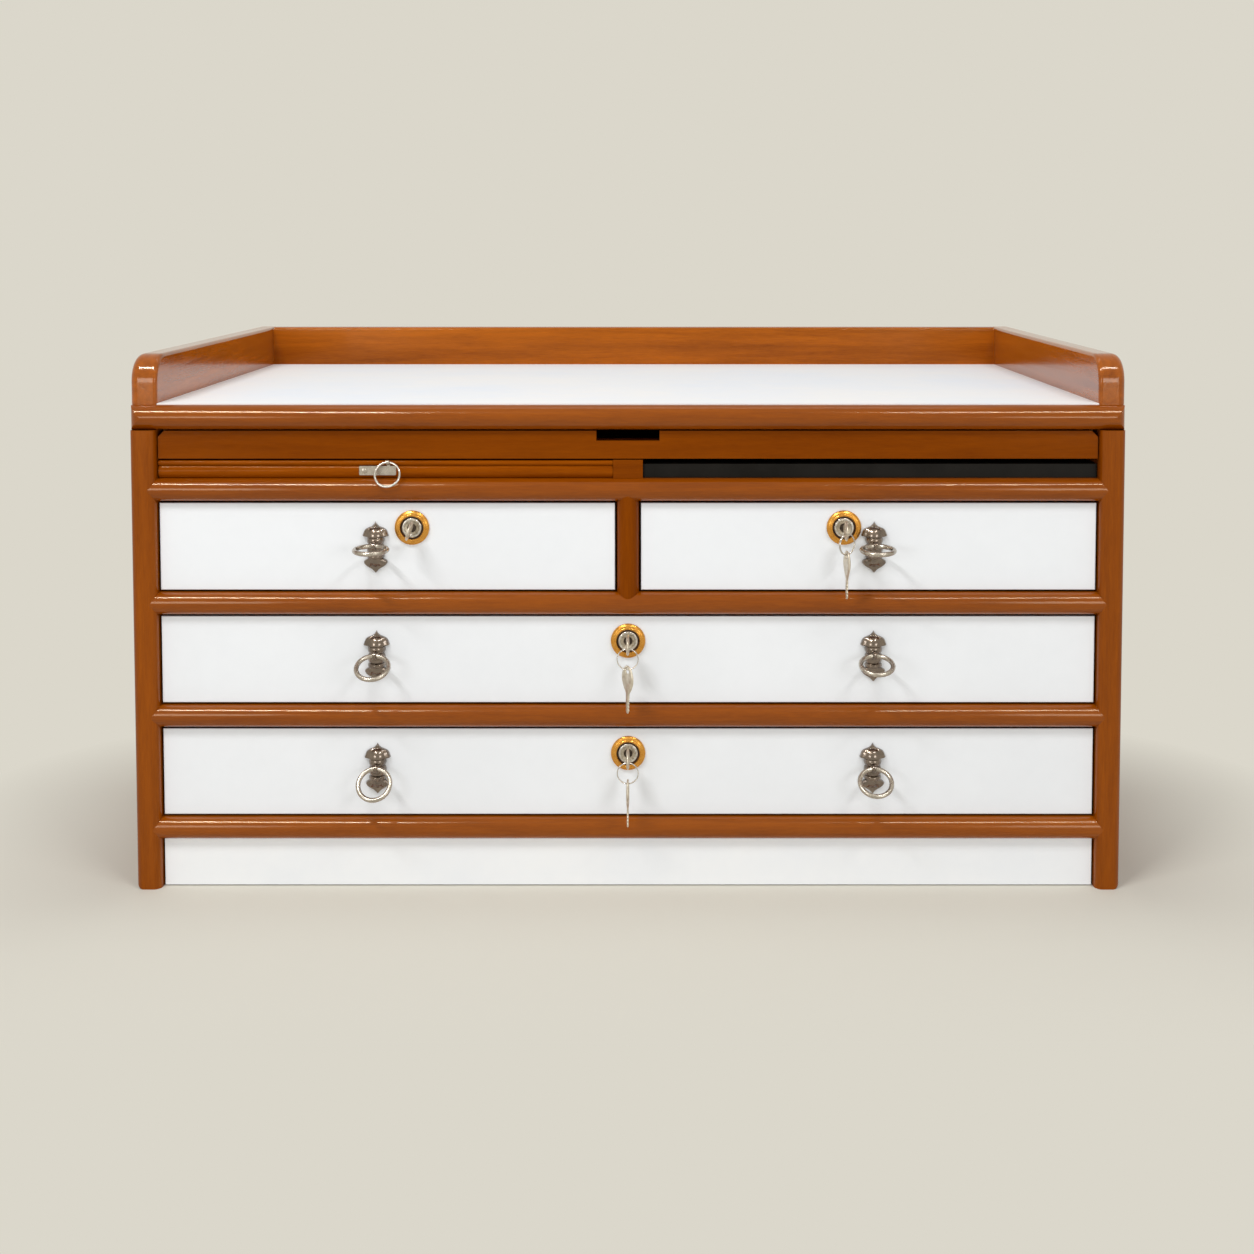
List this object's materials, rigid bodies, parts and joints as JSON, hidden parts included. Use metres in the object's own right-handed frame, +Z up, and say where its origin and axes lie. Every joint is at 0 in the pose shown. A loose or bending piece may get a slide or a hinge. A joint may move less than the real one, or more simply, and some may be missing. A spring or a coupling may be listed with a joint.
{
  "type": "drawer unit",
  "caption": "Wide low lacquered-wood desk-top cabinet: gallery top, lockable white drawers with ring pulls, pull-out writing board, shallow tray and pencil drawer.",
  "frame": {"origin": "on the floor, at the middle of the box round the whole unit with its rings", "axes": "+X to the right as seen from the front, +Y to the back, +Z up"},
  "size_m": [0.804, 0.4496, 0.435],
  "materials": {
    "lacquered_wood": "glossy brown lacquer",
    "inner_board": "plain unpainted board",
    "white_board": "white laminate on board",
    "white_laminate": "white laminate sheet",
    "black_plastic": "satin black",
    "nickel": "aged nickel plate",
    "brass": "polished brass",
    "screw_steel": "zinc plate"
  },
  "bodies": {
    "cabinet": {"left_side_panel": "lacquered_wood", "right_side_panel": "lacquered_wood", "back_panel": "inner_board", "top_board": "lacquered_wood", "top_laminate": "white_laminate", "gallery_left": "lacquered_wood", "gallery_right": "lacquered_wood", "gallery_back": "lacquered_wood", "slide_rail": "lacquered_wood", "upper_rail": "lacquered_wood", "middle_rail": "lacquered_wood", "bottom_rail": "lacquered_wood", "dust_boards": "inner_board", "centre_post": "lacquered_wood", "centre_partition": "inner_board", "slide_post": "lacquered_wood", "slide_guides": "inner_board", "plinth_panel": "white_board", "carcass_screws": "screw_steel"},
    "pencil_drawer": {"pencil_drawer_front": "lacquered_wood", "pencil_drawer_box": "inner_board"},
    "writing_board": {"writing_board": "lacquered_wood", "board_pull_plate": "nickel"},
    "board_ring": {"board_pull_ring": "nickel"},
    "black_tray": {"black_tray_front": "black_plastic", "black_tray_box": "black_plastic"},
    "small_left_drawer": {"small_left_drawer_front": "white_board", "small_left_drawer_box": "inner_board", "small_left_drawer_lock_body": "brass", "small_left_drawer_pull_plates": "nickel"},
    "small_left_lock": {"small_left_drawer_lock_plug": "nickel", "small_left_drawer_key": "nickel"},
    "small_left_pull_ring": {"small_left_pull_ring": "nickel"},
    "small_right_drawer": {"small_right_drawer_front": "white_board", "small_right_drawer_box": "inner_board", "small_right_drawer_lock_body": "brass", "small_right_drawer_pull_plates": "nickel"},
    "small_right_lock": {"small_right_drawer_lock_plug": "nickel", "small_right_drawer_key": "nickel"},
    "small_right_spare_key": {"small_right_drawer_spare_key": "nickel"},
    "small_right_pull_ring": {"small_right_pull_ring": "nickel"},
    "middle_drawer": {"middle_drawer_front": "white_board", "middle_drawer_box": "inner_board", "middle_drawer_lock_body": "brass", "middle_drawer_pull_plates": "nickel"},
    "middle_lock": {"middle_drawer_lock_plug": "nickel", "middle_drawer_key": "nickel"},
    "middle_spare_key": {"middle_drawer_spare_key": "nickel"},
    "middle_left_pull_ring": {"middle_left_pull_ring": "nickel"},
    "middle_right_pull_ring": {"middle_right_pull_ring": "nickel"},
    "bottom_drawer": {"bottom_drawer_front": "white_board", "bottom_drawer_box": "inner_board", "bottom_drawer_lock_body": "brass", "bottom_drawer_pull_plates": "nickel"},
    "bottom_lock": {"bottom_drawer_lock_plug": "nickel", "bottom_drawer_key": "nickel"},
    "bottom_spare_key": {"bottom_drawer_spare_key": "nickel"},
    "bottom_left_pull_ring": {"bottom_left_pull_ring": "nickel"},
    "bottom_right_pull_ring": {"bottom_right_pull_ring": "nickel"}
  },
  "joints": [
    {"name": "pencil_drawer_slide", "type": "slide", "parent": "cabinet", "child": "pencil_drawer", "axis": [0, -1, 0], "range_m": [0, 0.26]},
    {"name": "writing_board_slide", "type": "slide", "parent": "cabinet", "child": "writing_board", "axis": [0, -1, 0], "range_m": [0, 0.28]},
    {"name": "black_tray_slide", "type": "slide", "parent": "cabinet", "child": "black_tray", "axis": [0, -1, 0], "range_m": [0, 0.26]},
    {"name": "board_ring_swing", "type": "hinge", "parent": "writing_board", "child": "board_ring", "pos_m": [-0.193, -0.19117, 0.349], "axis": [-1, 0, 0], "range_deg": [-5, 100]},
    {"name": "small_left_drawer_slide", "type": "slide", "parent": "cabinet", "child": "small_left_drawer", "axis": [0, -1, 0], "range_m": [0, 0.28]},
    {"name": "small_left_lock_turn", "type": "hinge", "parent": "small_left_drawer", "child": "small_left_lock", "pos_m": [-0.1745, -0.18717, 0.2955], "axis": [0, 1, 0], "range_deg": [-17, 73]},
    {"name": "small_left_pull_ring_swing", "type": "hinge", "parent": "small_left_drawer", "child": "small_left_pull_ring", "pos_m": [-0.204, -0.19737, 0.2822], "axis": [-1, 0, 0], "range_deg": [-87, 63]},
    {"name": "small_right_drawer_slide", "type": "slide", "parent": "cabinet", "child": "small_right_drawer", "axis": [0, -1, 0], "range_m": [0, 0.28]},
    {"name": "small_right_lock_turn", "type": "hinge", "parent": "small_right_drawer", "child": "small_right_lock", "pos_m": [0.1745, -0.18717, 0.2955], "axis": [0, 1, 0], "range_deg": [0, 90]},
    {"name": "small_right_spare_key_swing", "type": "hinge", "parent": "small_right_lock", "child": "small_right_spare_key", "pos_m": [0.1745, -0.20937, 0.2955], "axis": [-1, 0, 0], "range_deg": [-15, 70]},
    {"name": "small_right_pull_ring_swing", "type": "hinge", "parent": "small_right_drawer", "child": "small_right_pull_ring", "pos_m": [0.199, -0.19737, 0.2822], "axis": [-1, 0, 0], "range_deg": [-86, 64]},
    {"name": "middle_drawer_slide", "type": "slide", "parent": "cabinet", "child": "middle_drawer", "axis": [0, -1, 0], "range_m": [0, 0.28]},
    {"name": "middle_lock_turn", "type": "hinge", "parent": "middle_drawer", "child": "middle_lock", "pos_m": [0, -0.18717, 0.203], "axis": [0, 1, 0], "range_deg": [0, 90]},
    {"name": "middle_spare_key_swing", "type": "hinge", "parent": "middle_lock", "child": "middle_spare_key", "pos_m": [0, -0.20937, 0.203], "axis": [-1, 0, 0], "range_deg": [-15, 70]},
    {"name": "middle_left_pull_ring_swing", "type": "hinge", "parent": "middle_drawer", "child": "middle_left_pull_ring", "pos_m": [-0.204, -0.19737, 0.1931], "axis": [-1, 0, 0], "range_deg": [-59, 91]},
    {"name": "middle_right_pull_ring_swing", "type": "hinge", "parent": "middle_drawer", "child": "middle_right_pull_ring", "pos_m": [0.199, -0.19737, 0.1931], "axis": [-1, 0, 0], "range_deg": [-70, 80]},
    {"name": "bottom_drawer_slide", "type": "slide", "parent": "cabinet", "child": "bottom_drawer", "axis": [0, -1, 0], "range_m": [0, 0.28]},
    {"name": "bottom_lock_turn", "type": "hinge", "parent": "bottom_drawer", "child": "bottom_lock", "pos_m": [0, -0.18717, 0.1105], "axis": [0, 1, 0], "range_deg": [0, 90]},
    {"name": "bottom_spare_key_swing", "type": "hinge", "parent": "bottom_lock", "child": "bottom_spare_key", "pos_m": [0, -0.20937, 0.1105], "axis": [-1, 0, 0], "range_deg": [-15, 70]},
    {"name": "bottom_left_pull_ring_swing", "type": "hinge", "parent": "bottom_drawer", "child": "bottom_left_pull_ring", "pos_m": [-0.204, -0.19737, 0.1006], "axis": [-1, 0, 0], "range_deg": [-38, 112]},
    {"name": "bottom_right_pull_ring_swing", "type": "hinge", "parent": "bottom_drawer", "child": "bottom_right_pull_ring", "pos_m": [0.199, -0.19737, 0.1006], "axis": [-1, 0, 0], "range_deg": [-53, 97]}
  ]
}
